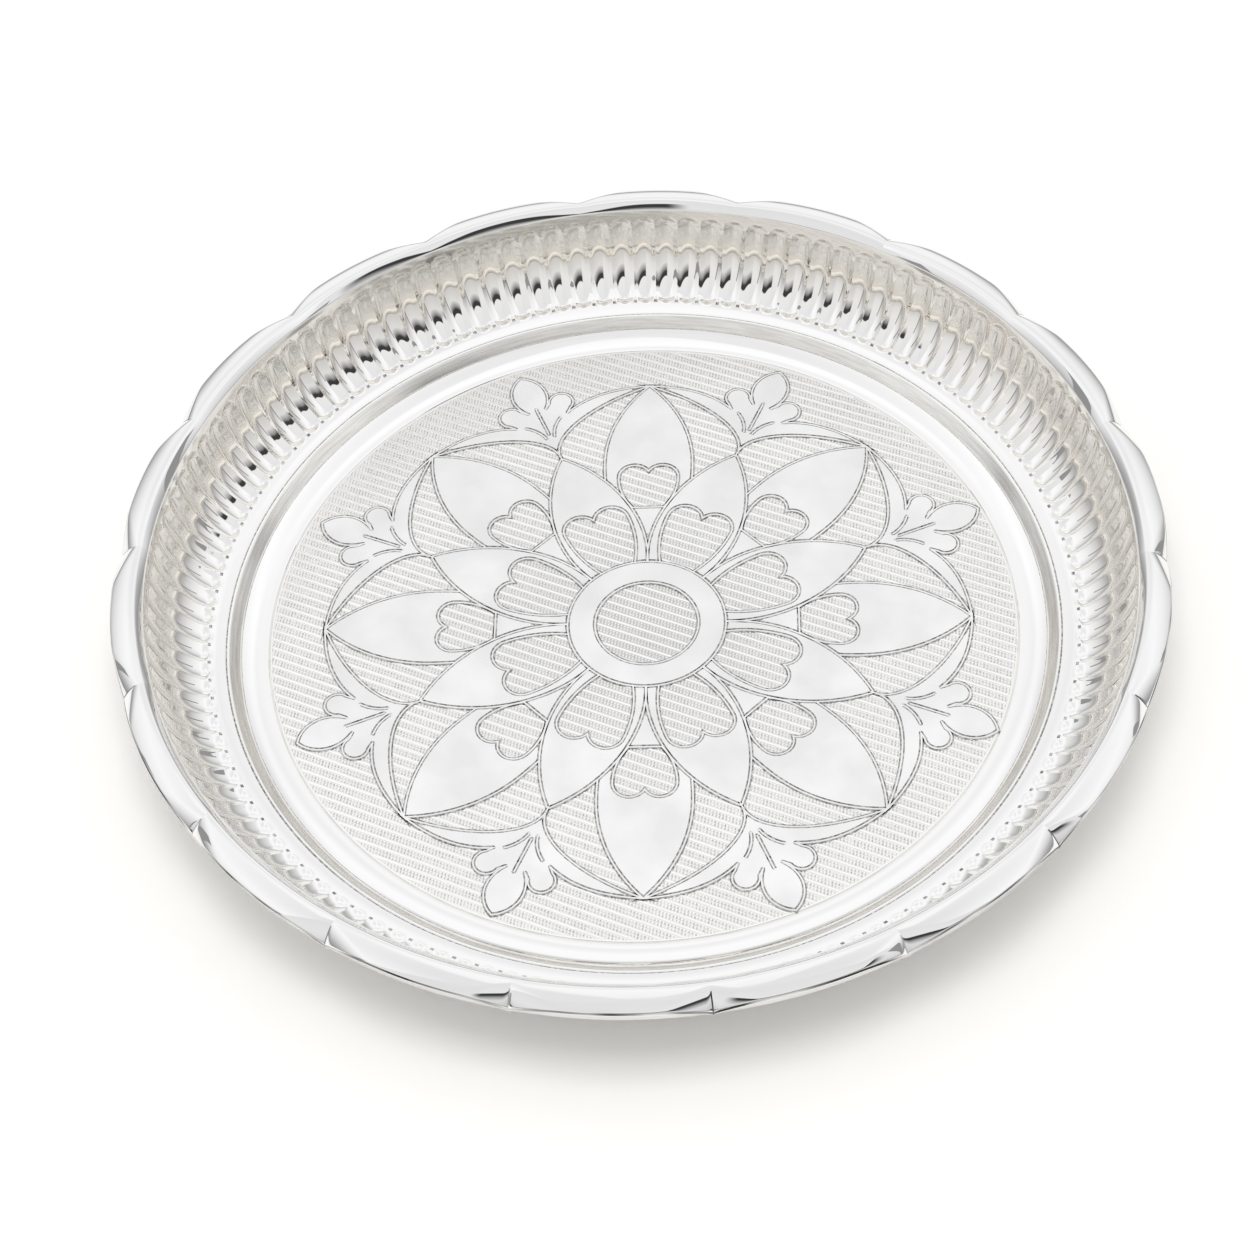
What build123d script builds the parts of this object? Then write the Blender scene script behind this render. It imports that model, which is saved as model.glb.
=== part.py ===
from build123d import *
import os
from math import cos, degrees, radians, sin, sqrt

# Puja thali: a stamped floor panel, a fluted wall band standing on the panel's flange, a rolled rim with
# lobes seated on the wall's lip, and a stiffening wire lying in the rim's hem. Millimetres, Z up. The
# origin is the middle of the flat underside that the thali rests on, and one outer petal points to +Y.

# Rosette on the floor, from the middle outwards
centre_radius = 14.0
ring_width = 6.0
petal_count = 8
inner_petal_length = 39.4
inner_petal_blade = 29.4
inner_petal_half_width = 10.2
inner_petal_base_half_width = 7.6
outer_petal_step = 20.6
outer_petal_blade = 27.2
outer_petal_half_width = 11.4
outer_petal_base_half_width = 4.0
ground_margin = 13.0
relief = 0.4
groove = 0.5

# Hatched hearts left low in the petals
inner_heart_length = 18.9
inner_heart_half_width = 8.6
inner_heart_base_half_width = 4.5
inner_heart_lobe_radius = 4.5
outer_heart_drop = 28.0
outer_heart_length = 14.8
outer_heart_half_width = 7.7
outer_heart_base_half_width = 4.0
outer_heart_lobe_radius = 4.1

# Sprigs between the outer petals
leaf_margin = 2.3
leaf_length = 13.0
leaf_blade = 8.0
leaf_half_width = 4.4
leaf_base_half_width = 2.6
side_leaf_radius = 3.1
side_leaf_offset = 7.2
side_leaf_drop = 12.4
horn_bow = 2.4

# Floor panel
floor_sheet = 1.0
border_run = 6.0
border_rise = 1.6
floor_flange = 4.6

# Wall band; a scoop reaches its full depth over the flute's end length
wall_sheet = 1.2
foot_setback = 0.6
bevel_width = 2.6
wall_run = 16.3
wall_rise = 23.8
flute_count = 120
flute_depth = 0.9
flute_foot_rise = 1.0
flute_top_drop = 2.6
flute_end = 3.2
lip_width = 2.8

# Rolled rim; the turn is in degrees, from the petal on +Y to the nearest lobe's middle
lobe_count = 18
lobe_turn = -2.0
rim_sheet = 0.8
rim_setback = 0.3
rim_width = 8.0
rim_fall = 0.6
shoulder_bend = 1.2
edge_bend = 0.2
curl_bend = 0.4
dent_depth = 1.6
dent_inset = 1.2
dent_span = 10.2
hem_margin = 0.4

# Stiffening wire
wire_diameter = 1.3
wire_gap = 0.5
seat_clearance = 0.1

# Radii and heights that follow from the sizes above
ring_radius = centre_radius + ring_width
inner_tip = ring_radius + inner_petal_length
outer_tip = inner_tip + outer_petal_step
ground_radius = outer_tip + ground_margin
leaf_tip = ground_radius - leaf_margin
border_radius = ground_radius + border_run
flange_top = floor_sheet + border_rise
foot_radius = border_radius + foot_setback
foot_top = flange_top + wall_sheet
cove_radius = foot_radius + bevel_width
wall_radius = cove_radius + wall_run
lip_top = foot_top + wall_rise
lip_radius = wall_radius + lip_width
shoulder_radius = shoulder_bend + rim_sheet
edge_radius = edge_bend + rim_sheet
curl_radius = curl_bend + rim_sheet
crest_height = lip_top + shoulder_radius
edge_height = crest_height - rim_fall
rim_radius = wall_radius + rim_width
wire_room = wire_diameter + 2 * seat_clearance
skirt_bottom = edge_height - dent_depth - wire_room - 2 * rim_sheet
wire_ring_radius = lip_radius + wire_gap + wire_diameter / 2
petal_pitch = 360 / petal_count
lobe_pitch = 360 / lobe_count
dent_angle = degrees(dent_span / rim_radius)


def mirrored_face(*right_side):
    """Closes a face from the edges of its right half, which run from the Y axis to the Y axis."""
    edges = list(right_side)
    edges += [mirror(edge, about=Plane.YZ) for edge in right_side]
    return make_face(edges)


def all_round(face, start):
    """Copies a face that points to +Y to every petal place, the first one turned by the start angle."""
    return Sketch() + [Rot(0, 0, start + petal_pitch * k) * face for k in range(petal_count)]


def petal(tip, blade, half_width, base, base_half_width):
    """A pointed petal on the Y axis; the blade runs from the tip to the widest place."""
    widest = (half_width, tip - blade)
    root = (base_half_width, base)
    return mirrored_face(
        TangentArc(widest, (0, tip), tangent=(0, 1)),
        TangentArc(widest, root, tangent=(0, -1)),
        Line(root, (0, base)),
    )


def heart(top, base, half_width, base_half_width, lobe_radius):
    """A heart on the Y axis with two round lobes outwards and a straight base."""
    lobe_middle = half_width - lobe_radius
    cleft = top - lobe_radius + sqrt(lobe_radius**2 - lobe_middle**2)
    widest = (half_width, top - lobe_radius)
    root = (base_half_width, base)
    return mirrored_face(
        ThreePointArc((0, cleft), (lobe_middle, top), widest),
        TangentArc(widest, root, tangent=(0, -1)),
        Line(root, (0, base)),
    )


def sprig():
    """Two horns that rise from an inner petal's tip, with a leaf and two round side leaves, on the Y axis."""
    half_pitch = radians(petal_pitch / 2)
    horn_tip = (outer_tip * sin(half_pitch), outer_tip * cos(half_pitch))
    root = inner_tip + groove
    side_height = leaf_tip - side_leaf_drop
    neck = (side_leaf_offset, side_height - side_leaf_radius)
    crown = ((horn_tip[0] + neck[0]) / 2, horn_tip[1] + horn_bow)
    horns = mirrored_face(
        EllipticalCenterArc((horn_tip[0], root), horn_tip[0], horn_tip[1] - root, start_angle=90, arc_size=90),
        ThreePointArc(horn_tip, crown, neck),
        Line(neck, (0, neck[1])),
    )
    stem_top = [(side * side_leaf_offset, side_height) for side in (1, -1)]
    stem = make_face(Polyline((0, root), *stem_top, close=True))
    leaf = petal(leaf_tip, leaf_blade, leaf_half_width, leaf_tip - leaf_length, leaf_base_half_width)
    side_leaves = [Pos(side * side_leaf_offset, side_height) * Circle(side_leaf_radius) for side in (-1, 1)]
    return Sketch() + [horns, stem, leaf] + side_leaves


def rosette():
    """Every polished, raised area of the floor, with a groove where two areas meet."""
    half_pitch = petal_pitch / 2
    inner_sizes = (inner_petal_half_width, ring_radius, inner_petal_base_half_width)
    outer_sizes = (outer_petal_half_width, ring_radius, outer_petal_base_half_width)
    inner = petal(inner_tip, inner_petal_blade, *inner_sizes)
    outer = petal(outer_tip, outer_petal_blade, *outer_sizes)
    inner_heart = heart(ring_radius + inner_heart_length, ring_radius, inner_heart_half_width,
                        inner_heart_base_half_width, inner_heart_lobe_radius)
    outer_heart_top = outer_tip - outer_heart_drop
    outer_heart = heart(outer_heart_top, outer_heart_top - outer_heart_length, outer_heart_half_width,
                        outer_heart_base_half_width, outer_heart_lobe_radius)
    inner_places = all_round(offset(inner, groove, kind=Kind.INTERSECTION), half_pitch)
    outer_places = all_round(offset(outer, groove, kind=Kind.INTERSECTION), 0)
    middle = Circle(ring_radius + groove)
    blades = all_round(inner - inner_heart, half_pitch) - middle
    backs = all_round(outer - outer_heart, 0) - inner_places - middle
    sprigs = all_round(sprig(), half_pitch) - inner_places - outer_places
    ring = Circle(ring_radius) - Circle(centre_radius)
    return [blades, backs, sprigs, ring]


def floor_panel():
    """The stamped disc: flat ground, upturned border, flat flange under the wall, raised rosette."""
    edge = border_radius + floor_flange
    upturn = TangentArc((ground_radius, 0), (border_radius, border_rise), tangent=(1, 0))
    flange = Line((border_radius, border_rise), (edge, border_rise))
    underside = [Line((0, 0), (ground_radius, 0)), upturn, flange]
    topside = [Pos(0, floor_sheet) * line for line in underside]
    sides = [Line((0, 0), (0, floor_sheet)), Line((edge, border_rise), (edge, flange_top))]
    disc = revolve(Plane.XZ * make_face(underside + topside + sides), Axis.Z)
    raised = [extrude(Pos(0, 0, floor_sheet) * area, relief) for area in rosette()]
    return disc + raised


def wall_curve(height, sheet):
    """Radius of the wall's quarter ellipse at a height: sheet 0 is the inside, wall_sheet the outside."""
    drop = (lip_top - height) / (wall_rise + sheet)
    return cove_radius + (wall_run + sheet) * sqrt(1 - drop * drop)


def fluted_section(height, depth, sheet):
    """A level cut of the fluted wall: ridges on the wall's curve and a scooped arc between each two."""
    ridge = wall_curve(height, sheet)
    step = radians(360 / flute_count)
    arcs = []
    for k in range(flute_count):
        stops = ((k - 0.5, ridge), (k, ridge + depth), (k + 0.5, ridge))
        points = [(radius * cos(turn * step), radius * sin(turn * step)) for turn, radius in stops]
        arcs.append(ThreePointArc(*points))
    return Pos(0, 0, height) * make_face(arcs)


def fluted_ring(low, high):
    """The fluted sheet between two levels; each scoop runs out round at both ends."""
    start, bend, full = 0.0, 0.3, 1.0
    stations = [((low + high) / 2, full)]
    for share in (start, bend, full):
        scoop = sqrt(share * (2 - share))
        stations += [(low + flute_end * share, scoop), (high - flute_end * share, scoop)]
    stations.sort()
    inside = [fluted_section(height, flute_depth * scoop, 0) for height, scoop in stations]
    outside = [fluted_section(height, flute_depth * scoop, wall_sheet) for height, scoop in stations]
    skins = loft(inside).faces() + loft(outside).faces()
    skins = [face for face in skins if face.geom_type != GeomType.PLANE]
    ends = [(outside[k] - inside[k]).face() for k in (0, -1)]
    return Solid(Shell(skins + ends))


def wall_band():
    """Bevelled foot, cove, fluted wall, plain band and the lip that carries the rim."""
    low = foot_top + flute_foot_rise
    high = lip_top - flute_top_drop
    span = wall_run + wall_sheet
    curve = Pos(cove_radius, lip_top) * (Ellipse(span, wall_rise + wall_sheet) - Ellipse(wall_run, wall_rise))
    foot_zone = Pos(cove_radius + span / 2, (flange_top + low) / 2) * Rectangle(span, low - flange_top)
    band_zone = Pos(cove_radius + span / 2, (high + lip_top) / 2) * Rectangle(span, lip_top - high)
    bevel_corners = [(foot_radius, flange_top), (cove_radius, flange_top), (cove_radius, foot_top)]
    bevel = make_face(Polyline(*bevel_corners, close=True))
    lip = Pos(wall_radius + lip_width / 2, lip_top - wall_sheet / 2) * Rectangle(lip_width, wall_sheet)
    foot = revolve(Plane.XZ * (bevel + (curve & foot_zone)), Axis.Z)
    band = revolve(Plane.XZ * ((curve & band_zone) + lip), Axis.Z)
    return fluted_ring(low, high).fuse(foot.solid(), band.solid(), glue=True)


def corner(centre, radius, start, end):
    """An arc about a centre between two angles."""
    angles = [radians(angle) for angle in (start, (start + end) / 2, end)]
    return ThreePointArc(*[(centre[0] + radius * cos(a), centre[1] + radius * sin(a)) for a in angles])


def rim_section(angle):
    """The rim's sheet, cut at an angle from a lobe's middle; its outer part sinks and draws in at a dent."""
    share = max(0.0, 1 - (lobe_pitch / 2 - abs(angle)) / dent_angle)
    outer = rim_radius - dent_inset * share
    edge_top = edge_height - dent_depth * share
    hem_end = wire_ring_radius - wire_diameter / 2 - hem_margin
    shoulder = (wall_radius + rim_setback + shoulder_radius, lip_top)
    edge = (outer - edge_radius, edge_top - edge_radius)
    curl = (outer - curl_radius, skirt_bottom + curl_radius)
    bends = [
        corner(shoulder, shoulder_radius, 180, 90),
        corner(edge, edge_radius, 90, 0),
        corner(curl, curl_radius, 0, -90),
        Line((hem_end, skirt_bottom), (hem_end, skirt_bottom + rim_sheet)),
        corner(curl, curl_bend, -90, 0),
        corner(edge, edge_bend, 0, 90),
        corner(shoulder, shoulder_bend, 90, 180),
    ]
    straights = [Line(bend @ 1, following @ 0) for bend, following in zip(bends, bends[1:] + bends[:1])]
    return Rot(0, 0, angle) * (Plane.XZ * make_face(bends + straights))


def scalloped_rim():
    """One lobe lofted from dent to dent, copied round and sewn together at the creases."""
    half = lobe_pitch / 2
    rising = [half - dent_angle, half - dent_angle / 2, half]
    lobe = loft([rim_section(angle) for angle in [-a for a in reversed(rising)] + [0] + rising])
    skins = [face for face in lobe.faces() if face.geom_type != GeomType.PLANE]
    turns = [90 + lobe_turn + lobe_pitch * k for k in range(lobe_count)]
    return Solid(Shell([Rot(0, 0, turn) * face for turn in turns for face in skins]))


def edge_wire():
    """A closed ring of round wire lying on the rim's hem."""
    height = skirt_bottom + rim_sheet + seat_clearance + wire_diameter / 2
    return Pos(0, 0, height) * Torus(wire_ring_radius, wire_diameter / 2)


def main():
    os.makedirs("parts", exist_ok=True)
    nodes = {
        "floor_panel": floor_panel(),
        "wall_band": wall_band(),
        "scalloped_rim": scalloped_rim(),
        "edge_wire": edge_wire(),
    }
    for name, shape in nodes.items():
        shape.label = name
        export_step(shape, f"parts/{name}.step")


main()
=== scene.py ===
from math import acos, asin, atan2, cos, degrees, hypot, pi, radians, sin, sqrt, tan

import bpy
from bpy.props import FloatProperty, FloatVectorProperty, IntProperty, PointerProperty, StringProperty
from mathutils import Matrix, Vector


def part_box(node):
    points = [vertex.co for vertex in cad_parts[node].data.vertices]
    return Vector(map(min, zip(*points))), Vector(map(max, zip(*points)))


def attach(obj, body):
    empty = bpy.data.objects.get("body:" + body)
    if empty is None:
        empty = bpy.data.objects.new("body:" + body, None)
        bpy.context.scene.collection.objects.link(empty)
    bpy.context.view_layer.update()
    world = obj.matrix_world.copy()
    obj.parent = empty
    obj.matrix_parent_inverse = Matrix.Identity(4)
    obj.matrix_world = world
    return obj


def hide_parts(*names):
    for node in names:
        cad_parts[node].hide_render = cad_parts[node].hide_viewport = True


bl_info = {
    "name": "Puja thali",
    "version": (1, 0, 0),
    "blender": (4, 5, 0),
    "location": "3D View > Sidebar > Thali",
    "description": "Models a silver offering tray with an engraved lotus floor, a fluted wall and a scalloped rim",
    "category": "Object",
}

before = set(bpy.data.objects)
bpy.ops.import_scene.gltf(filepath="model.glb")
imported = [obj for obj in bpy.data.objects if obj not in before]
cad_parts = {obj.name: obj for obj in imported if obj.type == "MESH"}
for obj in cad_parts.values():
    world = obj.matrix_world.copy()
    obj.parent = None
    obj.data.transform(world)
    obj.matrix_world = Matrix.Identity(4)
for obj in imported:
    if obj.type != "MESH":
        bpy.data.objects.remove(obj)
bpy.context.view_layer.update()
MM = 0.001
FLOOR_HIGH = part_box("floor_panel")[1]
WALL_LOW, WALL_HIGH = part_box("wall_band")
RIM_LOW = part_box("scalloped_rim")[0]


def length(name, description, millimetres):
    """A size that a user may change, given in millimetres."""
    return FloatProperty(name=name, description=description, default=millimetres * MM, unit="LENGTH", precision=5)


def angle(name, description, turn):
    """An angle that a user may change, given in degrees."""
    return FloatProperty(name=name, description=description, default=radians(turn), subtype="ANGLE")


def number(name, description, default, **settings):
    """A plain number that a user may change."""
    return FloatProperty(name=name, description=description, default=default, **settings)


def whole(name, description, default):
    """A whole number that a user may change."""
    return IntProperty(name=name, description=description, default=default)


def offset(name, description, x, y):
    """A step in two directions that a user may change, given in millimetres."""
    return FloatVectorProperty(name=name, description=description, size=2, default=(x * MM, y * MM), unit="LENGTH")


def colour(name, description, default):
    """A colour that a user may change, as sRGB hex text."""
    return StringProperty(name=name, description=description, default=default)


class ThaliFloor(bpy.types.PropertyGroup):
    """Sizes of the floor panel and of its hatched ground."""

    sheet: length("Sheet", "Thickness of the floor's sheet", 1.0)
    ground_radius: length("Ground radius", "Edge of the hatched ground", 93.0)
    border_radius: length("Border radius", "Outer edge of the upturned border", 99.0)
    joint: length("Joint", "Width of the dark joint between the border and the wall's foot", 0.12)
    hatch_margin: length("Hatch margin", "From the ends of the hatch lines to the ground's edge", 1.3)
    hatch_pitch: length("Hatch pitch", "Distance between two hatch lines", 2.48)
    hatch_width: length("Hatch width", "Width of a hatch line", 0.56)
    hatch_height: length("Hatch height", "Height of a hatch line above the ground", 0.11)
    hatch_round: length("Hatch rounding", "Bevel along a hatch line's crest", 0.08)
    hatch_angle: angle("Hatch angle", "Turn of the hatch lines from the X axis", -23.6)
    stud_pitch: length("Stud pitch", "Distance between two punched studs along a row", 0.85)
    stud_length: length("Stud length", "Length of a stud along its row", 0.58)
    stud_width: length("Stud width", "Width of a stud across its row", 0.56)
    stud_height: length("Stud height", "Height of a stud, half of it sunk in the ground", 0.16)
    stud_taper: number("Stud taper", "Size of a stud's top against its foot", 0.75)
    stud_margin: length("Stud margin", "From the outermost studs' middles to the ends of the hatch lines", 0.6)
    stud_slant: number("Stud slant", "Rise over run of the columns of studs", -3.35)


class ThaliRosette(bpy.types.PropertyGroup):
    """Sizes of the raised, polished areas of the floor."""

    relief: length("Relief", "Height of the polished areas above the ground", 0.3)
    sunk: length("Sunk", "How far raised pieces go down into the floor's sheet", 0.1)
    channel: length("Channel", "Width of the engraved outline round each area", 1.1)
    bead: length("Bead", "Half the width of the bead inside each outline", 0.24)
    bead_height: length("Bead height", "Height of the bead inside each outline", 0.14)
    shift: offset("Shift", "How far the rosette is stamped off the floor's middle", 1.15, -0.7)
    petal_count: whole("Petals", "Petals in each ring of the rosette", 8)
    centre_radius: length("Centre radius", "Line round the hatched middle", 12.8)
    ring_radius: length("Ring radius", "Line round the polished ring", 19.6)
    inner_tip: length("Inner tip", "Radius of the inner petals' tips", 59.4)
    inner_blade: length("Inner blade", "From an inner petal's tip to its widest place", 27.0)
    inner_half_width: length("Inner half width", "Half the width of an inner petal", 10.6)
    inner_base: length("Inner base", "Half the width of an inner petal at the ring", 7.6)
    inner_heart_top: length("Inner heart top", "Radius of the top of an inner heart's lobes", 38.9)
    inner_heart_half_width: length("Inner heart half width", "Half the width of an inner heart", 8.6)
    inner_heart_base: length("Inner heart base", "Half the width of an inner heart at the ring", 4.5)
    inner_heart_lobe: length("Inner heart lobe", "Radius of an inner heart's lobes", 4.5)
    outer_tip: length("Outer tip", "Radius of the outer petals' tips", 80.0)
    outer_blade: length("Outer blade", "From an outer petal's tip to its widest place", 27.2)
    outer_half_width: length("Outer half width", "Half the width of an outer petal", 11.4)
    outer_base: length("Outer base", "Half the width of an outer petal at the ring", 4.0)
    outer_heart_top: length("Outer heart top", "Radius of the top of an outer heart's lobes", 52.0)
    outer_heart_foot: length("Outer heart foot", "Radius of the straight base of an outer heart", 37.6)
    outer_heart_half_width: length("Outer heart half width", "Half the width of an outer heart", 7.7)
    outer_heart_base: length("Outer heart base", "Half the width of an outer heart at its base", 4.0)
    outer_heart_lobe: length("Outer heart lobe", "Radius of an outer heart's lobes", 4.1)
    leaf_tip: length("Leaf tip", "Radius of the tip of a sprig's leaf", 90.7)
    leaf_widest: length("Leaf widest", "Radius at which a sprig's leaf is widest", 83.4)
    leaf_half_width: length("Leaf half width", "Half the width of a sprig's leaf", 4.6)
    leaf_neck: length("Leaf neck", "Half the width of the leaf where it leaves the side leaves", 2.5)
    leaf_notch: length("Leaf notch", "Radius of the notch between leaf and side leaf", 77.6)
    side_leaf_offset: length("Side leaf offset", "Distance of a side leaf from the sprig's axis", 7.0)
    side_leaf_height: length("Side leaf height", "Radius at the middle of a side leaf", 78.2)
    side_leaf_radius: length("Side leaf radius", "Radius of a side leaf", 3.2)
    horn_notch: length("Horn notch", "Radius of the notch between horn and side leaf", 74.0)
    horn_crown: length("Horn crown", "Radius at the highest place of a horn's upper edge", 76.3)
    vein_foot: length("Vein foot", "Radius where the veins of a sprig meet", 66.4)
    vein_tip: length("Vein tip", "Radius of the tip of the middle vein", 78.4)


class ThaliWall(bpy.types.PropertyGroup):
    """Sizes of the fluted wall."""

    sheet: length("Sheet", "Thickness of the wall's sheet", 1.2)
    foot_radius: length("Foot radius", "Inner edge of the stepped foot", 99.5)
    step_rise: length("Step rise", "Height of the step at the wall's foot", 2.3)
    step_round: length("Step rounding", "Rounding of the step's upper corner", 0.5)
    cove_radius: length("Cove radius", "Top of the step, where the wall begins", 101.8)
    wall_radius: length("Wall radius", "Inside of the wall below the rim", 118.5)
    # The ledge is greyed with painted shade where it meets the rim
    ledge: length("Ledge", "Greyed strip of the wall's lip that shows inside the rim", 0.35)
    flute_count: whole("Flutes", "Flutes round the wall", 120)
    flute_depth: length("Flute depth", "Depth of a flute's scoop", 0.95)
    flute_low: length("Flute foot", "Height at which the flutes begin", 5.7)
    flute_high: length("Flute top", "Height at which the flutes end", 25.0)
    flute_foot_round: length("Foot rounding", "Length over which a flute deepens at its foot", 2.2)
    flute_top_round: length("Top rounding", "Length over which a flute deepens at its top", 2.6)
    ridge_share: number("Ridge share", "Rounded part of a flute's half width", 0.1)
    # The dark spot at the foot of the ridge between two flutes is painted shade
    spot_share: number("Spot share", "Half the width of the dark spot at a flute's foot, in flutes", 0.1)
    spot_length: length("Spot length", "Length of the dark spot at a flute's foot", 0.75)


class ThaliRim(bpy.types.PropertyGroup):
    """Sizes of the rolled, scalloped rim."""

    sheet: length("Sheet", "Thickness of the rim's sheet", 0.8)
    setback: length("Setback", "Step from the wall's inside to the rim's inside", 0.3)
    foot_tilt: angle("Foot tilt", "Tilt of the shoulder where it leaves the wall", 20)
    face_low: angle("Face low", "Tilt at the lower end of the shoulder's nearly flat face", 36.5)
    face_high: angle("Face high", "Tilt at the upper end of the shoulder's nearly flat face", 43.5)
    shoulder: length("Shoulder", "Outer radius of the bend at the top of the shoulder", 1.5)
    shoulder_face: length("Shoulder face", "Radius of the nearly flat face low on the shoulder", 14.0)
    shoulder_foot: length("Shoulder foot", "Radius of the bend where the shoulder leaves the wall", 0.8)
    top: length("Top", "Outer radius of the rim's gently rounded top", 10.0)
    top_run: length("Top run", "Width of the rounded top from the ridge to the edge", 4.8)
    edge_round: length("Edge rounding", "Radius of the rim's outer edge", 0.8)
    lean: angle("Lean", "How far the skirt leans in below the edge", 14)
    curl: length("Curl", "Outer radius of the bend into the hem", 0.9)
    hem_end: length("Hem end", "Radius at which the hem ends, under the rim", 121.4)
    lobe_count: whole("Lobes", "Lobes round the rim", 18)
    lobe_turn: angle("Lobe turn", "Turn of the nearest lobe from the petal on +Y", -2.0)
    scallop_sink: length("Scallop sink", "How far a lobe sinks from its middle to its ends", 0.6)
    scallop_inset: length("Scallop inset", "How far a lobe's edge draws in from its middle to its ends", 0.45)
    dent_apex: length("Dent apex", "Radius of the apex of the dent between two lobes", 120.9)
    dent_depth: length("Dent depth", "Depth of the dent's two facets at the edge", 2.2)
    dent_spread: length("Dent spread", "Half the width of the dent at the edge", 12.5)
    dent_hollow: number("Dent hollow", "Power by which the facets steepen towards the crease", 1.6)
    dent_inset: length("Dent inset", "How far the edge draws in at the dent between two lobes", 0.2)
    crease_depth: length("Crease depth", "Further sink of the sharp crease in a dent", 0.3)
    crease_span: length("Crease span", "Half the width of the sharp crease at the edge", 1.2)
    # From this radius the crease carries the painted shade of the rim's dark line
    crease_start: length("Crease start", "Radius from which the crease is dark with dried polish", 122.4)


class ThaliFinish(bpy.types.PropertyGroup):
    """Colours of the finishes, as sRGB hex values."""

    silver: colour("Silver", "Polished silver", "F7F7F6")
    crest: colour("Crest", "Rubbed crests of the hatch lines", "FBFBFA")
    satin: colour("Satin silver", "Rubbed silver of the petals", "F6F6F6")
    satin_dark: colour("Satin shade", "Duller clouds on the petals", "EAEAEA")
    ground: colour("Ground", "Punched silver between the hatch lines", "F3F2F0")
    # The ground is blended towards this darker colour near the middle
    ground_dark: colour("Dull ground", "Punched silver near the middle, less rubbed", "DDDCDA")
    tick: colour("Tick", "Dark silver in the punched ticks", "BAB7B3")
    tarnish: colour("Tarnish", "Dark silver in the engraved lines", "7E7C78")
    rubbed: colour("Rubbed tarnish", "Engraved lines where rubbing has cleared them", "D6D4D1")
    rim: colour("Rim", "Rolled silver of the rim", "F0F0F0")
    wall: colour("Wall", "Pressed silver of the wall's foot", "F4F4F3")
    # A painted warm tint near the rim for the light that bounces inside the bowl
    painted_amber_bounce: colour("Amber", "Pressed silver of the wall near the rim", "F6F2EB")
    # Tarnish in corners together with painted shade there and in the seam under the rim
    worn_and_shaded: colour("Worn", "Greyed silver in corners that the buff does not reach", "EFEDE9")
    worn_and_shaded_dark: colour("Worn dark", "Darker streaks in the greyed silver", "D8D5CF")
    # Painted shade: the dark line along the rim's edge and in its creases
    shade: colour("Shade", "Blackened silver along the rim's edge", "3B3936")
    wire: colour("Wire", "Drawn steel wire", "9A9894")
    paper: colour("Paper", "Pale floor that the thali stands on", "FBFAF7")


class ThaliStage(bpy.types.PropertyGroup):
    """Camera, floor and studio light."""

    elevation: angle("Elevation", "Camera's height above the horizon", 51.82)
    roll: angle("Roll", "Camera's roll", -4.72)
    turn: angle("Turn", "Turn of the rosette against the camera", 4.53)
    distance: length("Distance", "From the camera to the floor's middle", 647.8)
    aim: offset("Aim", "Floor's middle beside the view's axis: right and up", 3.74, 1.49)
    lens: number("Lens", "Focal length in mm on a 36 mm sensor", 75.2)
    floor_size: length("Floor size", "Side of the pale floor", 40000)
    gap_heading: angle("Gap heading", "Direction of the dark gap in the tent, clockwise from straight behind", 158)
    tent_strength: number("Tent strength", "Brightness of the tent", 1.1)
    tent_tint: colour("Tent tint", "Colour of the tent's cloth", "FDFDFE")
    lamp_power: number("Lamp power", "Power of the overhead lamp", 3.2, unit="POWER")
    lamp_size: length("Lamp size", "Side of the overhead lamp", 400)
    lamp_height: length("Lamp height", "Height of the overhead lamp", 1000)
    lamp_forward: length("Lamp forward", "From over the thali's middle towards the viewer to the lamp", 200)


# Brightness of the studio tent by elevation in degrees: behind the thali, at its sides, towards the viewer
# and in the gap
BACK_PANEL = ((0, 0.30), (3, 0.35), (8, 0.65), (14, 0.95), (32, 0.97), (45, 0.86), (53, 0.92), (60, 1.0),
              (66, 0.99), (80, 0.95), (88, 0.80))
SIDE_PANEL = ((0, 0.28), (5, 0.38), (10, 0.48), (16, 0.64), (24, 0.78), (35, 0.91), (48, 1.0), (75, 0.82))
FRONT_PANEL = ((0, 0.05), (3, 0.06), (5, 0.60), (12, 0.75), (24, 0.82), (60, 0.78), (75, 0.80))
GAP_PANEL = ((0, 0.05), (3, 0.06), (5, 0.60), (22, 0.74), (31, 0.30), (35, 0.05), (41, 0.04), (42.5, 0.84),
             (75, 0.80))
# Where the sides, the front and the gap take over from the panel before, in degrees of heading: the first two
# counted from straight behind, the last from opposite the gap
SIDE_EDGE, FRONT_EDGE, GAP_EDGE = (16, 30), (112, 114), (140, 146)
# Dark seams of the tent: their headings, half their width and their highest elevation in degrees, brightness
SEAM_HEADINGS, SEAM_HALF_WIDTH, SEAM_HIGH, SEAM_LEVEL = (-114, -72, 72, 114), 3, 30, 0.3

# The fine line at the ground's edge, a bead, a groove and a step: mm from the ground's edge and above it
EDGE_LINE = ((-1.25, 0), (-1.2, 0.07), (-1.1, 0.11), (-0.9, 0.11), (-0.8, 0.07), (-0.75, -0.08), (-0.4, -0.08),
             (-0.3, 0.02), (-0.15, 0.05))
# The dark groove behind the step at the wall's foot: mm from the step's corner and above it
STEP_GROOVE = ((0.5, 0.02), (0.6, -0.12), (0.8, -0.12), (0.9, 0.03))
# Half of a bead's section: shares of its half width and of its height
BEAD_SECTION = ((0, 1), (0.6, 0.95), (0.9, 0.6), (1, 0))
# A side vein's start, pull and end, and the middle vein's start: mm from the sprig's axis and from the veins' foot
SIDE_VEIN, MIDDLE_VEIN = ((1.1, 1.0), (1.9, 4.4), (4.9, 6.7)), (0.0, 2.2)
# Room that a test of place leaves for rounding, and the least upward part of a level face's normal
SLACK, LEVEL = 0.02 * MM, 0.99


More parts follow.
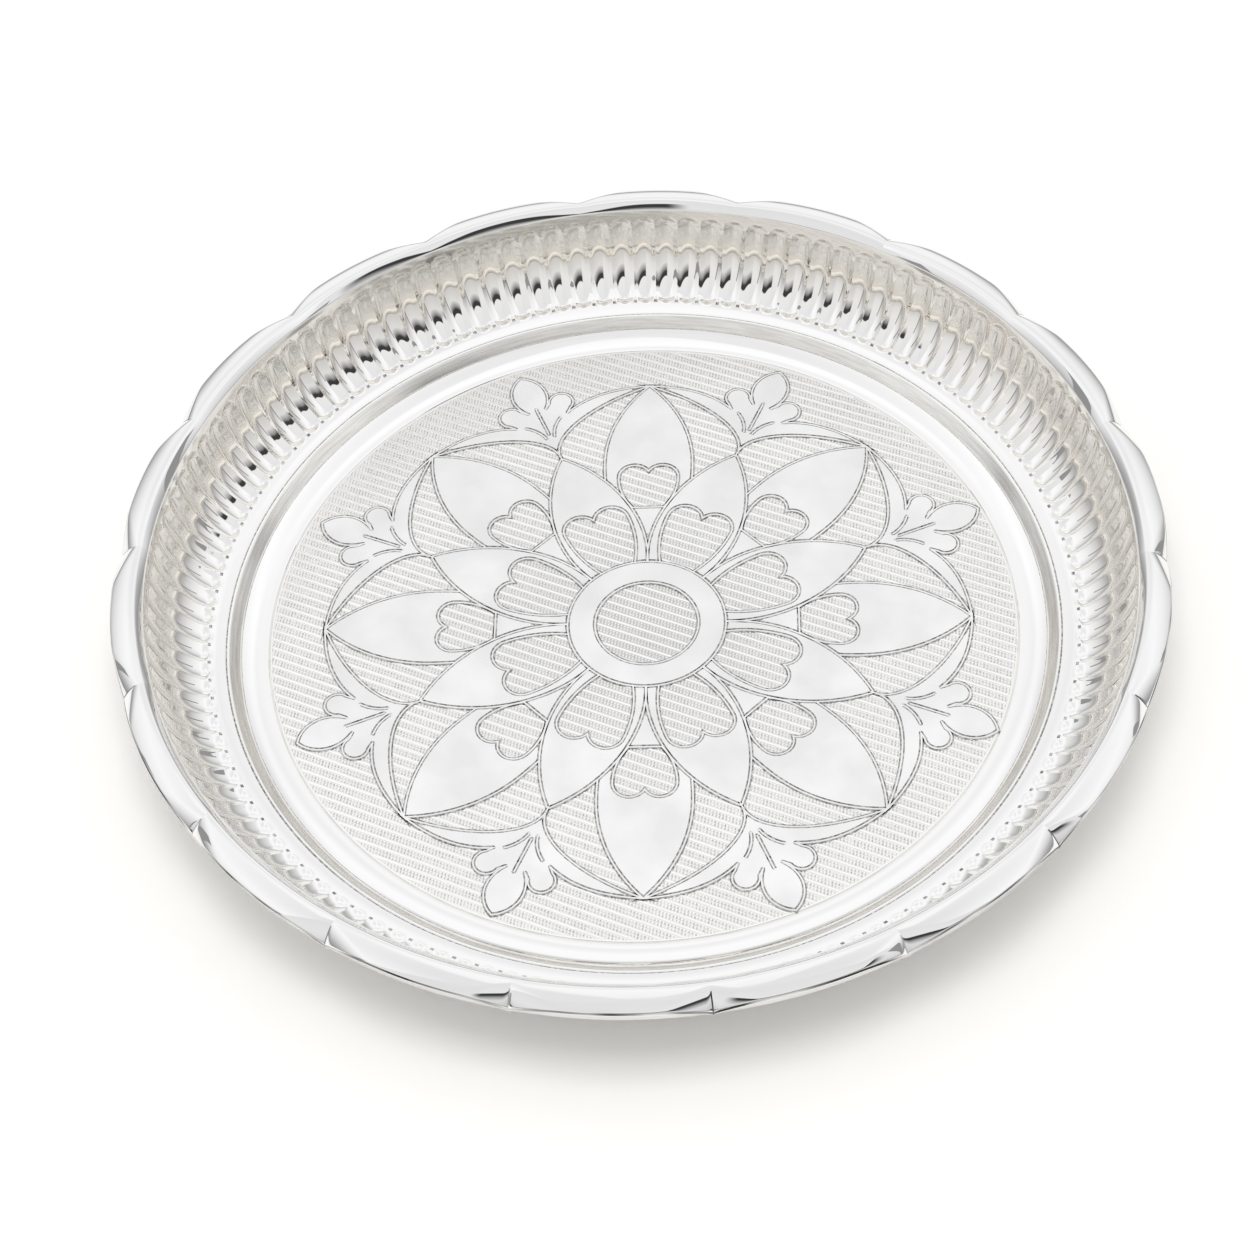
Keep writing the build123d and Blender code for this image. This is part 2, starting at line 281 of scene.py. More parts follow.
def linear(hex_text):
    """Turns an sRGB hex value into the linear colour that shaders take."""
    channels = [int(hex_text[k:k + 2], 16) / 255 for k in (0, 2, 4)]
    return [c / 12.92 if c <= 0.04045 else ((c + 0.055) / 1.055) ** 2.4 for c in channels] + [1.0]


def put(tree, socket, value):
    """Sets a socket to a value or to the colour of a hex text, or links it from another socket."""
    if isinstance(value, bpy.types.NodeSocket):
        tree.links.new(value, socket)
    else:
        socket.default_value = linear(value) if isinstance(value, str) else value


def add_node(tree, kind, inputs=None, **settings):
    """Adds a node with its settings; an input is a value, or the socket that it is linked from."""
    made = tree.nodes.new(kind)
    for name, value in settings.items():
        setattr(made, name, value)
    for name, value in (inputs or {}).items():
        put(tree, made.inputs[name], value)
    return made


def worked(tree, operation, *values):
    """The result of a sum on values and sockets."""
    return add_node(tree, "ShaderNodeMath", dict(enumerate(values)), operation=operation).outputs["Value"]


def parts(tree, vector):
    """The three parts of a vector, by the names of the axes."""
    return add_node(tree, "ShaderNodeSeparateXYZ", {"Vector": vector}).outputs


def from_middle(tree, place):
    """Distance of a place from the object's origin."""
    return add_node(tree, "ShaderNodeVectorMath", {0: place}, operation="LENGTH").outputs["Value"]


def noise(tree, place, size, detail):
    """A soft pattern with features of a real size, as a value about a half."""
    return add_node(tree, "ShaderNodeTexNoise", {"Vector": place, "Scale": 1 / size, "Detail": detail}).outputs["Fac"]


def ranged(tree, value, low, high, least=0.0, most=1.0, **settings):
    """A value carried from one range to another and held at the ends."""
    limits = {"Value": value, "From Min": low, "From Max": high, "To Min": least, "To Max": most}
    return add_node(tree, "ShaderNodeMapRange", limits, **settings).outputs["Result"]


def blend(tree, share, first, second, **settings):
    """A colour that goes from a first to a second as a share rises."""
    ends = {"Factor": share, "A": first, "B": second}
    return add_node(tree, "ShaderNodeMix", ends, data_type="RGBA", **settings).outputs[2]


def bump(tree, height, strength, depth):
    """A surface that rises and falls with a height."""
    relief = {"Height": height, "Strength": strength, "Distance": depth}
    return add_node(tree, "ShaderNodeBump", relief).outputs["Normal"]


def metal(name):
    """A new metal material, with its node tree and the object coordinates in metres."""
    material = bpy.data.materials.new(name)
    material.use_nodes = True
    return material, material.node_tree, add_node(material.node_tree, "ShaderNodeTexCoord").outputs["Object"]


def finished(material, tone, roughness, normal=None):
    """Gives a metal its colour, roughness and surface, each a value or a socket."""
    tree = material.node_tree
    sockets = tree.nodes["Principled BSDF"].inputs
    sockets["Metallic"].default_value = 1.0
    put(tree, sockets["Base Color"], tone)
    put(tree, sockets["Roughness"], roughness)
    if normal:
        put(tree, sockets["Normal"], normal)
    return material


def mirror(name, tone, wave, depth):
    """A polished metal whose sheet is uneven, in waves of a length and depth."""
    material, tree, place = metal(name)
    waves = noise(tree, place, wave, 0.5)
    return finished(material, tone, ranged(tree, waves, 0, 1, 0.008, 0.03), bump(tree, waves, 1.0, depth))


def polished_silver(finish):
    """Silver plate, buffed after pressing: a clear mirror with a slight unevenness of the sheet."""
    return mirror("polished_silver", finish.silver, 11 * MM, 0.02 * MM)


def rolled_silver(finish):
    """Silver plate rolled over at the rim and rubbed by handling: a mirror a little greyer, with long soft dents."""
    return mirror("rolled_silver", finish.rim, 9 * MM, 0.05 * MM)


def bright_silver(finish):
    """Crests of the hatch lines, bright from rubbing: white lines on the grey ground."""
    return mirror("bright_silver", finish.crest, 6 * MM, 0.005 * MM)


def pressed_silver(finish):
    """Silver plate as it leaves the fluting tool: a mirror that ripples, clear low down and hazier near the rim, tinted
    warmer near the rim as a painted reflection of the warm light that bounces inside the bowl.
    """
    material, tree, place = metal("pressed_silver")
    height = parts(tree, place)["Z"]
    tone = blend(tree, ranged(tree, height, 6 * MM, 16 * MM), finish.wall, finish.painted_amber_bounce)
    haze = ranged(tree, height, 13 * MM, 19 * MM, 0.015, 0.08)
    return finished(material, tone, haze, bump(tree, noise(tree, place, 5 * MM, 0.5), 1.0, 0.03 * MM))


def worn_and_shaded_silver(finish):
    """Silver in corners and in the seam under the rim, greyed by tarnish that the buff does not reach and by painted
    shade: a soft tan grey with streaks that run round the thali.
    """
    material, tree, place = metal("worn_and_shaded_silver")
    axes = parts(tree, place)
    along = worked(tree, "MULTIPLY", worked(tree, "ARCTAN2", axes["Y"], axes["X"]), 5 * MM)
    unrolled = add_node(tree, "ShaderNodeCombineXYZ", {"X": along, "Y": from_middle(tree, place)}).outputs["Vector"]
    streaks = ranged(tree, noise(tree, unrolled, 0.5 * MM, 2.0), 0.35, 0.75)
    return finished(material, blend(tree, streaks, finish.worn_and_shaded, finish.worn_and_shaded_dark), 0.22)


def satin_silver(finish):
    """Silver rubbed flat on the petals: a soft mirror with faint clouds and fine rubbing marks."""
    material, tree, place = metal("satin_silver")
    clouds = noise(tree, place, 16 * MM, 3.0)
    tone = blend(tree, ranged(tree, clouds, 0.35, 0.65), finish.satin, finish.satin_dark)
    marks = bump(tree, noise(tree, place, 0.9 * MM, 2.0), 0.06, 0.02 * MM)
    return finished(material, tone, ranged(tree, clouds, 0, 1, 0.14, 0.24), marks)


def punched_silver(finish, floor):
    """Silver ground punched between the hatch lines: a pale grain with two rows of short dark ticks."""
    material, tree, place = metal("punched_silver")
    turned = add_node(tree, "ShaderNodeMapping", {"Vector": place, "Rotation": (0, 0, -floor.hatch_angle)})
    axes = parts(tree, turned.outputs["Vector"])
    reach = hatch_reach(floor)
    row = stud_row(floor)
    origin = -reach + (int(reach / floor.hatch_pitch) * floor.hatch_pitch - row) / floor.stud_slant
    straight = worked(tree, "MULTIPLY_ADD", axes["Y"], -1 / floor.stud_slant, axes["X"])
    between = worked(tree, "PINGPONG", worked(tree, "SUBTRACT", straight, origin), floor.stud_pitch / 2)
    tick = worked(tree, "GREATER_THAN", between, floor.stud_length / 2 - 0.03 * MM)
    from_line = worked(tree, "PINGPONG", axes["Y"], floor.hatch_pitch / 2)
    in_row = worked(tree, "COMPARE", from_line, row, 0.6 * floor.stud_width)
    uneven = ranged(tree, noise(tree, place, 1.3 * MM, 1.0), 0.3, 0.7, 0.25)
    depth = worked(tree, "MULTIPLY", worked(tree, "MULTIPLY", tick, in_row), uneven)
    # Darker towards the middle of the ground
    inward = ranged(tree, from_middle(tree, place), 62 * MM, 15 * MM)
    base = blend(tree, inward, finish.ground, finish.ground_dark)
    grain = bump(tree, noise(tree, place, 0.5 * MM, 2.0), 0.6, 0.05 * MM)
    return finished(material, blend(tree, depth, base, finish.tick), 0.3, grain)


def tarnished_silver(finish):
    """Silver in the engraved channels and seams, cut in short strokes and darkened: a broken dark line."""
    material, tree, place = metal("tarnished_silver")
    strokes = noise(tree, place, 0.8 * MM, 1.0)
    tone = blend(tree, ranged(tree, strokes, 0.35, 0.7), finish.tarnish, finish.rubbed)
    return finished(material, tone, 0.4, bump(tree, strokes, 0.6, 0.08 * MM))


def painted_shade_silver(finish):
    """Silver with painted shade along the rim's edge and in its creases: a thin line, black in long runs and pale grey
    between them.
    """
    material, tree, place = metal("painted_shade_silver")
    runs = ranged(tree, noise(tree, place, 14 * MM, 1.0), 0.4, 0.65)
    return finished(material, blend(tree, runs, finish.shade, finish.rubbed), 0.3)


def drawn_steel_wire(finish):
    """Steel wire as drawn: grey, with fine marks round it."""
    material, tree, place = metal("drawn_steel_wire")
    marks = noise(tree, place, 1.2 * MM, 3.0)
    return finished(material, blend(tree, marks, finish.rubbed, finish.wire), 0.35)


def mode(name):
    """Goes to object or edit mode."""
    bpy.ops.object.mode_set(mode=name)


def begin():
    """Leaves edit mode and clears the selection."""
    if bpy.context.object and bpy.context.object.mode != "OBJECT":
        mode("OBJECT")
    bpy.ops.object.select_all(action="DESELECT")


def settle(piece, slot, materials, *replaced):
    """Hands a finished piece to the frame: materials, body and the nodes that it stands for; the record slot is not
    used.
    """
    for material in materials:
        piece.data.materials.append(material)
    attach(piece, "root")
    if replaced:
        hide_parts(*replaced)


def draw_section(name, points):
    """Draws a closed line of (radius, height) points in the XZ plane by extruding a vertex from point to point."""
    begin()
    bpy.ops.mesh.primitive_plane_add(size=MM, location=(0, 0, 0), enter_editmode=True)
    piece = bpy.context.object
    piece.name = name
    bpy.ops.mesh.merge(type="CENTER")
    bpy.ops.transform.translate(value=(points[0][0], 0, points[0][1]))
    for (r0, z0), (r1, z1) in zip(points, points[1:] + points[:1]):
        bpy.ops.mesh.extrude_region_move(TRANSFORM_OT_translate={"value": (r1 - r0, 0, z1 - z0)})
    return piece


def weld():
    """Merges doubled vertices in edit mode and turns all faces outwards."""
    bpy.ops.mesh.select_all(action="SELECT")
    bpy.ops.mesh.remove_doubles(threshold=0.002 * MM)
    bpy.ops.mesh.normals_make_consistent(inside=False)


def spin_round(steps, turn=2 * pi, copies=False):
    """Spins all of the edited mesh about the Z axis."""
    bpy.ops.mesh.select_all(action="SELECT")
    bpy.ops.mesh.spin(steps=steps, angle=turn, dupli=copies, center=(0, 0, 0), axis=(0, 0, 1))


def repeat_round(count):
    """Repeats the edited mesh evenly round the Z axis."""
    spin_round(count - 1, 2 * pi * (count - 1) / count, copies=True)
    weld()


def draw_segment(name, section, columns, step):
    """Spins a section through one step of a pattern, to both sides of the X axis, and leaves edit mode."""
    piece = draw_section(name, section)
    spin_round(columns, step)
    weld()
    mode("OBJECT")
    first = min(atan2(v.co.y, v.co.x) for v in piece.data.vertices)
    piece.data.transform(Matrix.Rotation(-first - step / 2, 4, "Z"))
    return piece


def turn_piece(piece, turn):
    """Turns a piece about the Z axis."""
    piece.rotation_euler.z = turn
    bpy.ops.object.transform_apply(rotation=True)


def set_round(piece, turn, count):
    """Turns the edited piece to its heading and repeats it round the Z axis."""
    mode("OBJECT")
    turn_piece(piece, turn)
    mode("EDIT")
    repeat_round(count)


def smooth(limit):
    """Leaves edit mode and shades smooth, with edges over the limit in degrees kept sharp."""
    mode("OBJECT")
    bpy.ops.object.shade_smooth_by_angle(angle=radians(limit))


def evenly(start, end, steps):
    """Values from a start to an end in even steps."""
    return [start + (end - start) * k / steps for k in range(steps + 1)]


def arc(centre, radius, start, end, steps):
    """Points on an arc about a centre, between two angles in degrees."""
    return [(centre[0] + radius * cos(radians(a)), centre[1] + radius * sin(radians(a)))
            for a in evenly(start, end, steps)]


def circle(radius, count):
    """Points of a whole circle about the origin, clockwise."""
    return arc((0, 0), radius, 360, 360 / count, count - 1)


def bend(start, radius, low, high, steps):
    """Points that carry a section on from a start along a bend, as its face tilts up from one angle to another."""
    return [(start[0] + radius * (cos(low) - cos(a)), start[1] + radius * (sin(a) - sin(low)))
            for a in evenly(low, high, steps)[1:]]


def bow_radius(rise, run):
    """Radius of an arc that leaves its tangent by a rise over a run."""
    return (rise**2 + run**2) / (2 * rise)


def quadratic(start, pull, end, steps):
    """Points on a curve from start to end that is drawn towards a third point."""
    return [tuple((1 - t) ** 2 * a + 2 * t * (1 - t) * b + t * t * c for a, b, c in zip(start, pull, end))
            for t in evenly(0, 1, steps)]


def flipped(points):
    """Points on the other side of the Y axis, in the opposite order."""
    return [(-x, y) for x, y in reversed(points)]


def mirrored(right_side):
    """Closes an outline from its right half, which runs from the Y axis to the Y axis."""
    return right_side + [(x, y) for x, y in flipped(right_side) if abs(x) > 0.001 * MM]


def offset_path(points, distance):
    """Moves an open path to its left by a distance."""
    moved = []
    for k, (x, y) in enumerate(points):
        before, after = points[max(0, k - 1)], points[min(len(points) - 1, k + 1)]
        a = Vector((x - before[0], y - before[1]))
        b = Vector((after[0] - x, after[1] - y))
        a = (a if a.length > 0 else b).normalized()
        b = (b if b.length > 0 else a).normalized()
        side = Vector((-(a.y + b.y), a.x + b.x)).normalized()
        reach = distance / max(0.5, side.dot(Vector((-a.y, a.x))))
        moved.append((x + side.x * reach, y + side.y * reach))
    return moved


def ring_sizes(rosette, kind, *sizes):
    """Sizes of the inner or the outer petals or hearts, by the last part of their names."""
    return [getattr(rosette, f"{kind}_{size}") for size in sizes]


class PetalShape:
    """An inner or outer petal on the Y axis, whole to the ring: two tangent arcs on each side, drawn in by an inset."""

    def __init__(self, rosette, kind, inset):
        tip, blade, half_width, base = ring_sizes(rosette, kind, "tip", "blade", "half_width", "base")
        ring = rosette.ring_radius
        self.half_width = half_width
        self.inset = inset
        self.widest = tip - blade
        self.upper = bow_radius(half_width, blade)
        self.lower = bow_radius(half_width - base, self.widest - sqrt(ring**2 - base**2))
        self.base = sqrt((ring + inset) ** 2 - (base - inset) ** 2)
        self.tip = self.widest + sqrt((self.upper - inset) ** 2 - (self.upper - half_width) ** 2)

    def at(self, y):
        """Half the petal's width at a distance from the rosette's middle."""
        radius = self.upper if y > self.widest else self.lower
        return self.half_width - radius + sqrt(max(0.0, (radius - self.inset) ** 2 - (y - self.widest) ** 2))

    def side(self, low, steps):
        """Points of the right side, from the tip down to a low end."""
        return [(max(0.0, self.at(y)), y) for y in evenly(self.tip, low, steps)]


class HeartShape:
    """The heart at an inner petal's foot, open to the ring, or an outer one's, closed by a chord, let out all round."""

    def __init__(self, rosette, kind, grown):
        top, half_width, base, lobe = ring_sizes(rosette, kind + "_heart", "top", "half_width", "base", "lobe")
        foot = self.start = rosette.outer_heart_foot
        if kind == "inner":
            foot = sqrt(rosette.ring_radius**2 - base**2)
            self.start = sqrt((rosette.ring_radius + grown) ** 2 - (base + grown) ** 2)
        self.middle = (half_width - lobe, top - lobe)
        self.lobe = lobe + grown
        self.radius = bow_radius(half_width - base, self.middle[1] - foot)
        self.centre = half_width - self.radius
        self.grown = grown

    def at(self, y):
        """Half the heart's width on its flank at a distance from the rosette's middle."""
        return self.centre + sqrt((self.radius + self.grown) ** 2 - (self.middle[1] - y) ** 2)

    def side(self):
        """Points of the right side: a flank, then a round lobe up to the cleft."""
        flank = evenly(self.start, self.middle[1], 10)[:-1]
        cleft = 180 - degrees(asin(sqrt(self.lobe**2 - self.middle[0] ** 2) / self.lobe))
        return [(self.at(y), y) for y in flank] + arc(self.middle, self.lobe, 0, cleft, 14)


def add_object(name, data):
    """Puts a curve, camera or lamp into the scene as an object."""
    added = bpy.data.objects.new(name, data)
    bpy.context.collection.objects.link(added)
    return added


def line_curve(name, paths):
    """A flat curve of straight steps through the points of each path, open or closed."""
    begin()
    curve = bpy.data.curves.new(name, "CURVE")
    curve.dimensions = "2D"
    curve.fill_mode = "NONE"
    for points, closed in paths:
        spline = curve.splines.new("POLY")
        spline.points.add(len(points) - 1)
        spline.use_cyclic_u = closed
        for target, (x, y) in zip(spline.points, points):
            target.co = (x, y, 0, 1)
    return add_object(name, curve)


def edit_curve(piece):
    """Turns a curve into a mesh and opens it in edit mode."""
    bpy.context.view_layer.objects.active = piece
    piece.select_set(True)
    bpy.ops.object.convert(target="MESH")
    mode("EDIT")


def lift(height):
    """Moves all of the edited mesh up."""
    bpy.ops.mesh.select_all(action="SELECT")
    bpy.ops.transform.translate(value=(0, 0, height))


def plate(name, outlines, low, high):
    """A flat solid that fills outlines between two heights."""
    piece = line_curve(name, [(points, True) for points in outlines])
    piece.data.fill_mode = "BOTH"
    edit_curve(piece)
    weld()
    bpy.ops.mesh.extrude_region_move(TRANSFORM_OT_translate={"value": (0, 0, high - low)})
    lift(low)
    return piece


class THALI_OT_floor_panel(bpy.types.Operator):
    """Spins the floor's sheet: flat ground, fine edge line, upturned border and the flange under the wall"""

    bl_idname = "thali.floor_panel"
    bl_label = "Floor panel"

    def execute(self, context):
        floor = context.scene.thali_floor
        finish = context.scene.thali_finish
        ground, edge, top = floor.ground_radius, FLOOR_HIGH.x, FLOOR_HIGH.z
        rise, run = top - floor.sheet, floor.border_radius - ground
        bow = bow_radius(rise, run)
        low_bend = arc((ground, bow), bow, -90, -90 + degrees(asin(run / bow)), 10)
        high_bend = [(r, z + floor.sheet) for r, z in low_bend]
        rings = evenly(0, ground, 4)[:-1]
        line = [(ground + r * MM, floor.sheet + z * MM) for r, z in EDGE_LINE]
        joint = floor.border_radius + floor.joint
        upper = [(r, floor.sheet) for r in rings] + line + high_bend[1:] + [(joint, top), (edge, top)]
        under = [(edge, rise)] + low_bend[::-1] + [(r, 0) for r in reversed(rings)]
        piece = draw_section("floor_sheet", upper + under)
        spin_round(256)
        weld()
        smooth(20)
        settle(piece, "engraved_silver", (polished_silver(finish), punched_silver(finish, floor),
                                          tarnished_silver(finish), worn_and_shaded_silver(finish)), "floor_panel")
        punched, tarnished, worn_and_shaded = 1, 2, 3
        groove = (line[5][0] - SLACK, line[6][0] + SLACK)
        for face in piece.data.polygons:
            radius = hypot(face.center.x, face.center.y)
            if face.normal.z < LEVEL:
                continue
            if radius < line[0][0]:
                face.material_index = punched
            # The edge line's groove and the flange under the wall are greyed partly with painted shade
            elif groove[0] < radius < groove[1] or radius > joint:
                face.material_index = worn_and_shaded
            elif radius > floor.border_radius:
                face.material_index = tarnished
        return {"FINISHED"}


def hatch_reach(floor):
    """Radius at which hatch lines and studs end, inside the fine edge line."""
    return floor.ground_radius - floor.hatch_margin


def stud_row(floor):
    """Distance from a hatch line to the rows of studs on both sides of it."""
    return floor.hatch_pitch / 3


class THALI_OT_hatching(bpy.types.Operator):
    """Lays the raised hatch lines over the ground and punches studs between them"""

    bl_idname = "thali.hatching"
    bl_label = "Hatching"

    def execute(self, context):
        floor = context.scene.thali_floor
        reach = hatch_reach(floor)
        rows = int(reach / floor.hatch_pitch)
        self.lines(context, floor, reach, rows)
        self.studs(context, floor, reach, rows)
        return {"FINISHED"}

    def lines(self, context, floor, reach, rows):
        """Lays the hatch lines, each as long as the ground is wide there, with rounded crests."""
        begin()
        bpy.ops.mesh.primitive_cube_add(size=MM, enter_editmode=True)
        piece = context.object
        piece.name = "hatch_lines"
        bpy.ops.mesh.delete(type="VERT")
        sunk = context.scene.thali_rosette.sunk
        for k in range(-rows, rows + 1):
            y = k * floor.hatch_pitch
            bpy.ops.mesh.primitive_cube_add(
                size=1, location=(0, y, floor.sheet + (floor.hatch_height - sunk) / 2),
                scale=(2 * sqrt(reach**2 - y**2), floor.hatch_width, floor.hatch_height + sunk))
        mode("OBJECT")
        crest = floor.sheet + floor.hatch_height - SLACK
        ends = piece.data.vertices
        for line in piece.data.edges:
            a, b = (ends[v].co for v in line.vertices)
            line.select = a.z > crest and b.z > crest and abs(a.y - b.y) < SLACK
        mode("EDIT")
        bpy.ops.mesh.select_mode(type="EDGE")
        bpy.ops.mesh.bevel(offset=floor.hatch_round, segments=2, affect="EDGES")
        bpy.ops.mesh.select_mode(type="VERT")
        smooth(60)
        turn_piece(piece, floor.hatch_angle)
        settle(piece, "engraved_silver", [bright_silver(context.scene.thali_finish)])

    def studs(self, context, floor, reach, rows):
        """Punches two rows of small studs between each pair of hatch lines, where no polished area covers them."""
        begin()
        row = stud_row(floor)
        bpy.ops.mesh.primitive_cube_add(size=1, enter_editmode=True, location=(0, 0, 0))
        piece = context.object
        piece.name = "punched_studs"
        bpy.ops.transform.resize(value=(floor.stud_length, floor.stud_width, floor.stud_height))
        bpy.ops.mesh.select_all(action="DESELECT")
        mode("OBJECT")
        for face in piece.data.polygons:
            face.select = face.normal.z > LEVEL
        mode("EDIT")
        bpy.ops.mesh.select_mode(type="FACE")
        bpy.ops.transform.resize(value=(floor.stud_taper, floor.stud_taper, 1))
        bpy.ops.mesh.select_mode(type="VERT")
        bpy.ops.mesh.select_all(action="SELECT")
        bpy.ops.transform.translate(value=(0, row, floor.sheet))
        bpy.ops.mesh.select_all(action="DESELECT")
        mode("OBJECT")
        next_line = floor.hatch_pitch / floor.stud_slant % floor.stud_pitch
        for count, step in ((2, (row / floor.stud_slant, row)),
                            (int(2 * reach / floor.stud_pitch), (floor.stud_pitch, 0)),
                            (int(2 * reach / floor.hatch_pitch), (next_line, floor.hatch_pitch))):
            copies = piece.modifiers.new("copies", "ARRAY")
            copies.count = count
            copies.use_relative_offset = False
            copies.use_constant_offset = True
            copies.constant_offset_displace = (*step, 0)
            bpy.ops.object.modifier_apply(modifier=copies.name)
        piece.location = (-reach, -rows * floor.hatch_pitch, 0)
        bpy.ops.object.transform_apply(location=True)
        turn_piece(piece, floor.hatch_angle)
        covers = [bpy.data.objects[name] for name in ROSETTE_PIECES]
        corners = piece.data.vertices
        per_stud = 8
        for first in range(0, len(corners), per_stud):
            centre = (corners[first].co + corners[first + per_stud - 1].co) / 2
            above = Vector((centre.x, centre.y, WALL_HIGH.z))
            hidden = any(cover.ray_cast(above, Vector((0, 0, -1)))[0] for cover in covers)
            for k in range(first, first + per_stud):
                corners[k].select = hidden or hypot(centre.x, centre.y) > reach - floor.stud_margin
        mode("EDIT")
        bpy.ops.mesh.delete(type="VERT")
        mode("OBJECT")
        settle(piece, "engraved_silver", [bpy.data.materials["satin_silver"]])


def height_at(path, x):
    """Height of a path that runs from right to left, at a distance from the Y axis; it holds past its ends."""
    for (x0, y0), (x1, y1) in zip(path, path[1:]):
        if x1 <= x <= x0:
            return y1 + (y0 - y1) * (x - x1) / (x0 - x1)
    return path[0][1] if x > path[0][0] else path[-1][1]


def neighbour_edge(rosette, y, gap):
    """Distance from an outer petal's axis to the near side of the next inner petal, less a gap."""
    shape = PetalShape(rosette, "inner", -gap)
    half_pitch = pi / rosette.petal_count
    turned = [(x * sin(half_pitch) + s * cos(half_pitch), -x * cos(half_pitch) + s * sin(half_pitch))
              for x, s in shape.side(shape.base, 60)]
    return height_at(turned, y) if y >= turned[-1][0] else 0.0


def inner_petal_outline(rosette, inset):
    """Outline of an inner petal with its heart left open to the ring."""
    shape = PetalShape(rosette, "inner", inset)
    return mirrored(shape.side(shape.base, 60) + HeartShape(rosette, "inner", inset).side())


def outer_petal_outline(rosette, inset):
    """Outline of the outer petal that shows between two inner petals, with its heart open to the chord."""
    shape = PetalShape(rosette, "outer", inset)
    heart = HeartShape(rosette, "outer", inset)
    heights = evenly(shape.tip, rosette.outer_heart_foot, 80)
    side = [(min(shape.at(y), neighbour_edge(rosette, y, inset)), y) for y in heights]
    thinnest = 0.25 * MM
    legs = [(max(0.0, x), y) for x, y in side if y > heart.middle[1] or x > heart.at(y) + thinnest]
    return mirrored(legs + [(x, y) for x, y in heart.side() if y > legs[-1][1]])


def wedge_outline(rosette, inset):
    """Outline of the slim polished wedge between two inner petals, from the ring to the outer heart's chord."""
    top = rosette.outer_heart_foot - inset
    heights = evenly(top, rosette.ring_radius + inset, 20)
    thinnest = 0.15 * MM
    side = [(x, y) for x, y in ((neighbour_edge(rosette, y, inset), y) for y in heights) if x > thinnest]
    return mirrored([(0.0, top)] + side + [(0.0, side[-1][1])])


def sprig_outline(rosette, inset):
    """Outline of a sprig: a pointed leaf, two round side leaves and two horns, parted by narrow slots."""
    blade = rosette.leaf_tip - rosette.leaf_widest
    half = rosette.leaf_half_width
    bow = bow_radius(half, blade)
    reach = sqrt((bow - inset) ** 2 - (bow - half) ** 2)
    leaf = [(half - bow + sqrt((bow - inset) ** 2 - y**2), rosette.leaf_widest + y) for y in evenly(reach, 0, 12)]
    slot = (rosette.leaf_neck, rosette.leaf_notch)
    # Angles at which the slots' round ends begin and between which a side leaf runs, then the slot's mouth beside
    # the leaf, the pull on the leaf's neck and the horn's notch from under the side leaf's middle
    slot_turn, horn_turn, lobe_turns = 138, 125, (168, -62)
    mouth, droop, aside = (0.8 * MM, 1.2 * MM), 2.2 * MM, 0.3 * MM
    start = (slot[0] + mouth[0] + inset * cos(radians(slot_turn)),
             slot[1] + mouth[1] + inset * sin(radians(slot_turn)))
    neck = quadratic(leaf[-1], (half - inset, rosette.leaf_widest - droop), start, 6)
    middle = (rosette.side_leaf_offset, rosette.side_leaf_height)
    lobe = arc(middle, rosette.side_leaf_radius - inset, *lobe_turns, 18)
    notch = (middle[0] + aside, rosette.horn_notch)
    upper, lower = horn_edges(rosette, notch, inset)
    side = leaf + neck[1:] + slot_end(slot, inset, slot_turn) + lobe + slot_end(notch, inset, horn_turn)
    return mirrored([(max(0.0, x), y) for x, y in side + upper[1:] + lower])


def slot_end(centre, radius, start):
    """The round inner end of a slot, or its middle alone for the line that runs along it."""
    return arc(centre, radius, start, start + 180, 8) if radius > 0 else [centre]


def horn_edges(rosette, notch, inset):
    """Upper edge of a horn from its notch outwards, and lower edge back to the sprig's root."""
    half_pitch = pi / rosette.petal_count
    tip = (rosette.outer_tip * sin(half_pitch), rosette.outer_tip * cos(half_pitch))
    root = rosette.inner_tip + rosette.channel / 2
    pull, thinnest, root_drop = 0.55, 0.1 * MM, 0.3 * MM
    upper = quadratic(notch, (tip[0] * pull, 2 * rosette.horn_crown - tip[1]), tip, 24)
    lower = [(tip[0] * (1 - cos(a)), root + (tip[1] - root) * sin(a)) for a in evenly(pi / 2, 0, 32)]
    if inset == 0:
        return upper, lower[1:]
    upper, lower = offset_path(upper, -inset), offset_path(lower, -inset)
    upper = [(x, y) for x, y in upper if y > height_at(lower, x) + thinnest]
    lower = [(x, y) for x, y in lower if SLACK < x <= upper[-1][0]]
    return upper, lower + [(0.0, lower[-1][1] - root_drop)]


def stroke(path, width):
    """Closed outline of an engraved stroke along a path, with round ends."""
    far, near = (degrees(atan2(b[1] - a[1], b[0] - a[0])) for a, b in (path[-2:], path[:2]))
    far_end = arc(path[-1], width / 2, far + 90, far - 90, 8)[1:-1]
    near_end = arc(path[0], width / 2, near - 90, near - 270, 8)[1:-1]
    return offset_path(path, width / 2) + far_end + offset_path(path, -width / 2)[::-1] + near_end


def vein_paths(rosette):
    """The lines of the three engraved strokes that spread from low in a sprig."""
    start, *ends = [(x * MM, rosette.vein_foot + y * MM) for x, y in (MIDDLE_VEIN, *SIDE_VEIN)]
    side = quadratic(*ends, 8)
    return [[start, (0.0, rosette.vein_tip)], side, [(-x, y) for x, y in side]]


def stamp(piece, rosette, *materials):
    """Settles a piece of the rosette where it is stamped, a little off the floor's middle."""
    piece.data.transform(Matrix.Translation((*rosette.shift, 0)))
    settle(piece, "engraved_silver", materials)


